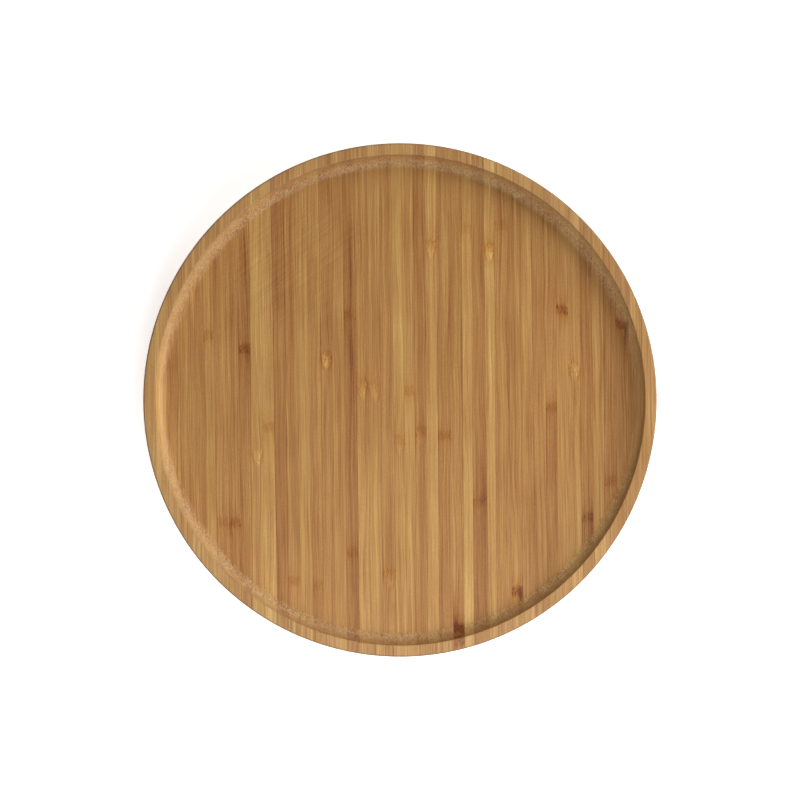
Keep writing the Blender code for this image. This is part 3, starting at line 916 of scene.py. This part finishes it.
def offset_path(path, distance):
    """The path moved to its right by the distance, mitred at its corners."""
    moved = []
    for k, (r, z) in enumerate(path):
        before = path[max(k - 1, 0)]
        after = path[min(k + 1, len(path) - 1)]
        arriving = math.atan2(z - before[1], r - before[0]) if k > 0 else None
        leaving = math.atan2(after[1] - z, after[0] - r) if k < len(path) - 1 else None
        first = leaving if arriving is None else arriving
        last = arriving if leaving is None else leaving
        turn = math.remainder(last - first, math.tau)
        heading = first + turn / 2 - math.pi / 2
        reach = distance / math.cos(turn / 2)
        moved.append((r + reach * math.cos(heading), z + reach * math.sin(heading)))
    return moved


def rounded_corners(path, radius, steps=4):
    """The path with each of its inner points that bends sharply swapped for a short arc."""
    rounded = [path[0]]
    for before, point, after in zip(path, path[1:], path[2:]):
        arriving = Vector(point) - Vector(before)
        leaving = Vector(after) - Vector(point)
        bend = arriving.angle(leaving, 0.0)
        reach = radius * math.tan(bend / 2)
        if bend < math.radians(20) or reach > 0.45 * min(arriving.length, leaving.length):
            rounded.append(point)
            continue
        start = Vector(point) - reach * arriving.normalized()
        end = Vector(point) + reach * leaving.normalized()
        for k in range(steps + 1):
            t = k / steps
            curve = (1 - t) ** 2 * start + 2 * t * (1 - t) * Vector(point) + t**2 * end
            rounded.append((curve.x, curve.y))
    return rounded + [path[-1]]


def race_path(flat_height, side):
    """The ball side of a plate from outside its corners to the race's inner shoulder. side is -1 for the
    lower plate, under the balls, and 1 for the upper plate."""
    shoulder = BALL_CENTRE + side * SHOULDER_DEPTH
    groove = BALL_RADIUS + RUNNING_GAP
    spread = math.degrees(math.asin(SHOULDER_DEPTH / groove))
    corner = PLATE_SIDE * math.sqrt(0.5) + MM
    path = [(corner, flat_height), (RAMP_OUTER_RADIUS, flat_height), (RAMP_INNER_RADIUS, shoulder)]
    return path + arc((RACE_RADIUS, BALL_CENTRE), groove, side * spread, side * (180 - spread), 16)


def square_with_round_corners(side, radius, bottom, top, steps=10):
    shape = bmesh.new()
    outline = []
    for k in range(4):
        turn = math.tau * k / 4
        middle = Matrix.Rotation(turn, 2) @ Vector((side / 2 - radius, side / 2 - radius))
        for s in range(steps + 1):
            a = turn + math.tau / 4 * s / steps
            outline.append(middle + radius * Vector((math.cos(a), math.sin(a))))
    low_ring = [shape.verts.new((p.x, p.y, bottom)) for p in outline]
    high_ring = [shape.verts.new((p.x, p.y, top)) for p in outline]
    shape.faces.new(low_ring[::-1])
    shape.faces.new(high_ring)
    bridge(shape, high_ring, low_ring)
    return link_shape("trim", shape)


def make_plate(name, path, node, body, steel):
    """A turned sheet trimmed to a square with round corners, with a screw hole in each corner."""
    path = rounded_corners(path, 0.5 * MM)
    plate = lathe(name, path + offset_path(path, SHEET)[::-1], BEARING_SEGMENTS, closed=True)
    trim = square_with_round_corners(PLATE_SIDE, PLATE_CORNER_ROUND, BEARING_BOTTOM - MM, BEARING_TOP + MM)
    boolean(plate, [trim], "INTERSECT")
    holes = [
        cylinder(PLATE_HOLE_RADIUS, BEARING_BOTTOM - MM, BEARING_TOP + MM, *around(SCREW_CIRCLE, a), 40, a)
        for a in DIAGONALS
    ]
    boolean(plate, holes)
    smooth(plate)
    dress(plate, steel, body, "galvanised_steel", node)


def make_bearing(steel, nylon_look, ball_look):
    lower = race_path(BEARING_BOTTOM + SHEET, -1)
    lower.append((LIP_RADIUS, lower[-1][1]))
    make_plate("lower_plate_sheet", lower[::-1], "lower_bearing_plate", "base", steel)
    upper = race_path(BEARING_TOP - SHEET, 1)
    flange_top = BALL_CENTRE - SHOULDER_DEPTH - SHEET - 2 * RUNNING_GAP
    upper += [(CRIMP_TUBE_RADIUS, upper[-1][1]), (CRIMP_TUBE_RADIUS, flange_top)]
    upper.append((CRIMP_FLANGE_RADIUS, flange_top))
    make_plate("upper_plate_sheet", upper, "upper_bearing_plate", "tray", steel)
    make_cage(nylon_look)
    for k, angle in enumerate(BALL_ANGLES):
        node = f"ball_{k + 1:02d}"
        shape = bmesh.new()
        bmesh.ops.create_icosphere(shape, subdivisions=4, radius=BALL_RADIUS * 0.999)
        bmesh.ops.rotate(shape, verts=shape.verts, matrix=Matrix.Rotation(1.7 * k, 3, (0.3, 0.8, 0.5)))
        bmesh.ops.translate(shape, verts=shape.verts, vec=(*around(RACE_RADIUS, angle), BALL_CENTRE))
        ball = link_shape(f"bearing_{node}", shape)
        ball.data.shade_smooth()
        dress(ball, ball_look, "ball_ring", "bearing_steel", node)


def make_cage(look):
    """A moulded ring with rounded edges and a pocket for each ball."""
    low_side, high_side = low("ball_cage").z, high("ball_cage").z
    outer = high("ball_cage").x
    inner = 2 * RACE_RADIUS - outer
    edge = 0.3 * MM
    profile = arc((outer - edge, high_side - edge), edge, 90, 0, 3)
    profile += arc((outer - edge, low_side + edge), edge, 0, -90, 3)
    profile += arc((inner + edge, low_side + edge), edge, -90, -180, 3)
    profile += arc((inner + edge, high_side - edge), edge, 180, 90, 3)
    cage = lathe("cage_ring", profile, 160, closed=True)
    # Turned by half a side, so that no corner of a pocket meets an edge of the ring
    turn = math.pi / POCKET_SEGMENTS
    span = (low_side - MM, high_side + MM)
    pockets = [
        cylinder(POCKET_RADIUS, *span, *around(RACE_RADIUS, angle), POCKET_SEGMENTS, angle + turn)
        for angle in BALL_ANGLES
    ]
    boolean(cage, pockets)
    smooth(cage)
    dress(cage, look, "ball_ring", "nylon", "ball_cage")


# ---------------------------------------------------------------- screws and feet

THREAD_PITCH = 1.15 * MM
THREAD_RADIUS = 1.6 * MM
CORE_RADIUS = 1.1 * MM
NECK = 0.9 * MM


def screw_body():
    """A pan head wood screw with a cross recess, pointing down, its head resting on z = 0."""
    head = SCREW_HEAD_RADIUS
    profile = [(0.35 * MM, SCREW_HEAD_HEIGHT), (1.2 * MM, SCREW_HEAD_HEIGHT - 0.02 * MM)]
    profile += [(2.1 * MM, SCREW_HEAD_HEIGHT - 0.16 * MM), (2.7 * MM, 1.55 * MM), (3.1 * MM, 1.2 * MM)]
    profile += [(head - 0.03 * MM, 0.75 * MM), (head, 0.3 * MM), (head - 0.1 * MM, 0.06 * MM)]
    profile += [(head - 0.25 * MM, 0), (SCREW_SHANK_RADIUS + 0.15 * MM, 0), (SCREW_SHANK_RADIUS, -0.15 * MM)]
    segments, rows = 36, 68
    shape = bmesh.new()
    rings = [new_ring(shape, [r] * segments, z) for r, z in profile]
    thread_start = -NECK
    thread_end = -SCREW_LENGTH + 0.05 * MM
    for row in range(rows + 1):
        z = thread_start + (thread_end - thread_start) * row / rows
        fade_in = min(1.0, (thread_start - z) / (0.8 * THREAD_PITCH))
        taper = min(1.0, (z + SCREW_LENGTH) / SCREW_TIP)
        core = SCREW_SHANK_RADIUS + (CORE_RADIUS - SCREW_SHANK_RADIUS) * fade_in
        radii = []
        for k in range(segments):
            phase = (z / THREAD_PITCH + k / segments) % 1.0
            ridge = max(0.0, 1.0 - abs(phase - 0.5) / 0.26)
            radii.append((core + (THREAD_RADIUS - core) * ridge * fade_in) * taper)
        rings.append(new_ring(shape, radii, z))
    for first, second in zip(rings, rings[1:]):
        bridge(shape, first, second)
    shape.faces.new(rings[0])
    shape.faces.new(rings[-1][::-1])
    bmesh.ops.recalc_face_normals(shape, faces=shape.faces)
    screw = link_shape("screw", shape)
    boolean(screw, [recess_cutter(0.0), recess_cutter(math.pi / 2)])
    smooth(screw, 40)
    mesh = screw.data
    bpy.data.objects.remove(screw)
    return mesh


def recess_cutter(turn):
    """One arm of the cross recess, across the head, narrowing with depth."""
    shape = bmesh.new()
    mouth = (1.9 * MM, 0.42 * MM, SCREW_HEAD_HEIGHT + 0.2 * MM)
    bottom = (0.75 * MM, 0.24 * MM, SCREW_HEAD_HEIGHT - 1.2 * MM)
    corners = ((1, 1), (-1, 1), (-1, -1), (1, -1))
    rings = [[shape.verts.new((i * x, j * y, z)) for i, j in corners] for x, y, z in (mouth, bottom)]
    shape.faces.new(rings[0])
    shape.faces.new(rings[1][::-1])
    bridge(shape, *rings)
    bmesh.ops.recalc_face_normals(shape, faces=shape.faces)
    bmesh.ops.rotate(shape, verts=shape.verts, matrix=Matrix.Rotation(turn, 3, "Z"))
    return link_shape("recess", shape)


def make_screws(look):
    template = screw_body()
    tray_seat = BEARING_TOP - SHEET - RUNNING_GAP
    base_seat = BEARING_BOTTOM + SHEET + RUNNING_GAP
    foot_seat = FOOT_HEIGHT - FOOT_WEB - RUNNING_GAP
    kinds = [
        ("tray_screw", "tray", SCREW_CIRCLE, tray_seat, math.pi),
        ("base_screw", "base", SCREW_CIRCLE, base_seat, 0.0),
        ("foot_screw", "base", FOOT_CIRCLE, foot_seat, math.pi),
    ]
    rng = random.Random(5)
    for kind, body, circle, seat, flip in kinds:
        for k, angle in enumerate(DIAGONALS):
            mesh = template.copy()
            stand = Matrix.Rotation(flip, 4, "X") @ Matrix.Rotation(rng.uniform(0, math.tau), 4, "Z")
            mesh.transform(Matrix.Translation((*around(circle, angle), seat)) @ stand)
            screw = link(f"{kind}_steel_{k + 1}", mesh)
            dress(screw, look, body, "zinc_screw", f"{kind}_{k + 1}")


def make_feet(look):
    """Tapered rubber feet with a rounded edge, a grooved sole and a counterbore for the screw."""
    bore = SCREW_HEAD_RADIUS + 0.8 * MM
    web = FOOT_HEIGHT - FOOT_WEB
    edge = 0.9 * MM
    groove_depth = 0.3 * MM
    profile = [(PILOT_RADIUS, FOOT_HEIGHT), (FOOT_TOP_RADIUS - 0.25 * MM, FOOT_HEIGHT)]
    profile += [(FOOT_TOP_RADIUS, FOOT_HEIGHT - 0.25 * MM)]
    profile += [(FOOT_TOP_RADIUS - 0.05 * MM, FOOT_HEIGHT - 0.7 * MM)]
    profile += arc((FOOT_BOTTOM_RADIUS - edge, edge), edge, 0, -90, 6)
    for groove in (6.6 * MM, 5.6 * MM):
        profile += [(groove, 0), (groove - 0.12 * MM, groove_depth)]
        profile += [(groove - 0.38 * MM, groove_depth), (groove - 0.5 * MM, 0)]
    profile += [(bore + 0.2 * MM, 0), (bore, 0.2 * MM), (bore, web), (PILOT_RADIUS, web)]
    for k, angle in enumerate(DIAGONALS):
        foot = lathe(f"foot_rubber_{k + 1}", profile, 72, closed=True)
        foot.data.transform(Matrix.Translation((*around(FOOT_CIRCLE, angle), 0)))
        smooth(foot)
        dress(foot, look, "base", "rubber", f"rubber_foot_{k + 1}")


# ---------------------------------------------------------------- camera, lights and floor

VIEW_WIDTH_AT_RIM = 0.5447
CAMERA_ABOVE_RIM = 2.0
SENSOR = 36.0


def make_camera():
    data = bpy.data.cameras.new("camera")
    data.sensor_width = SENSOR
    data.lens = SENSOR * CAMERA_ABOVE_RIM / VIEW_WIDTH_AT_RIM
    data.clip_end = 50
    camera = bpy.data.objects.new("camera", data)
    camera.location = (0, 0, TRAY_TOP + CAMERA_ABOVE_RIM)
    COLLECTION.objects.link(camera)
    bpy.context.scene.camera = camera


# Name, place (m), width and height (m), and power (W). All of them face the tray.
LIGHTS = [
    ("key", (2.09, 0.0, 0.71), (1.3, 0.8), 30.5),
    ("back_right", (1.20, 1.60, 0.98), (1.8, 1.0), 33),
    ("top", (0.08, -0.50, 0.80), (0.62, 0.42), 4.5),
    ("front", (0.0, -1.20, 0.87), (0.8, 0.5), 4.8),
    ("left", (-1.58, -0.58, 1.44), (1.3, 0.8), 5.5),
]
LIGHTS_AIM = Vector((0, 0, 0.03))


def area_light(name, location, size, power):
    data = bpy.data.lights.new(name, "AREA")
    data.shape = "RECTANGLE"
    data.size, data.size_y = size
    data.energy = power
    light = bpy.data.objects.new(name, data)
    light.location = location
    light.rotation_euler = (LIGHTS_AIM - Vector(location)).to_track_quat("-Z", "Y").to_euler()
    light.visible_camera = False
    COLLECTION.objects.link(light)


def make_studio():
    world = bpy.data.worlds.new("studio")
    world.use_nodes = True
    nodes, links = world.node_tree.nodes, world.node_tree.links
    background = nodes["Background"]
    background.inputs[0].default_value = (1.0, 1.0, 1.0, 1.0)
    # Seen directly the studio is white, but it adds only a faint light of its own.
    seen = nodes.new("ShaderNodeMapRange")
    seen.inputs[3].default_value = 0.03
    seen.inputs[4].default_value = 1.0
    links.new(nodes.new("ShaderNodeLightPath").outputs["Is Camera Ray"], seen.inputs[0])
    links.new(seen.outputs[0], background.inputs[1])
    bpy.context.scene.world = world
    for light in LIGHTS:
        area_light(*light)

    # The floor gives off light of its own, so that it stays white further out.
    g = Graph("studio_floor")
    point = g.object_mm()
    mottle = g.noise(point, (0.004, 0.004, 0.004), detail=3.0)
    colour = g.ramp(mottle, [(0.3, srgb(236, 236, 236)), (0.7, srgb(242, 242, 242))])
    x, y, _ = g.split(point)
    glow = g.step(g.from_axis(x, y), 180.0, 1100.0, 0.62, 1.0)
    g.feed(g.shader.inputs["Emission Strength"], glow)
    g.shader.inputs["Emission Color"].default_value = (1, 1, 1, 1)
    shape = bmesh.new()
    bmesh.ops.create_grid(shape, x_segments=8, y_segments=8, size=12)
    floor = link_shape("studio_floor", shape, (0, 0, -0.5 * MM))
    floor.data.materials.append(g.finish(colour, 0.9, None, Specular_IOR_Level=0.1))

    settings = bpy.context.scene.view_settings
    settings.view_transform = "Standard"
    settings.look = "None"
    settings.exposure = 0.0


# ---------------------------------------------------------------- assembly

wood = bamboo("bamboo_oiled")
make_tray(wood)
make_base(wood)
make_bearing(galvanised("galvanised_sheet"), nylon("nylon_moulded"), ball_steel("steel_polished"))
make_screws(zinc("zinc_plated"))
make_feet(rubber("rubber_black"))
make_camera()
make_studio()
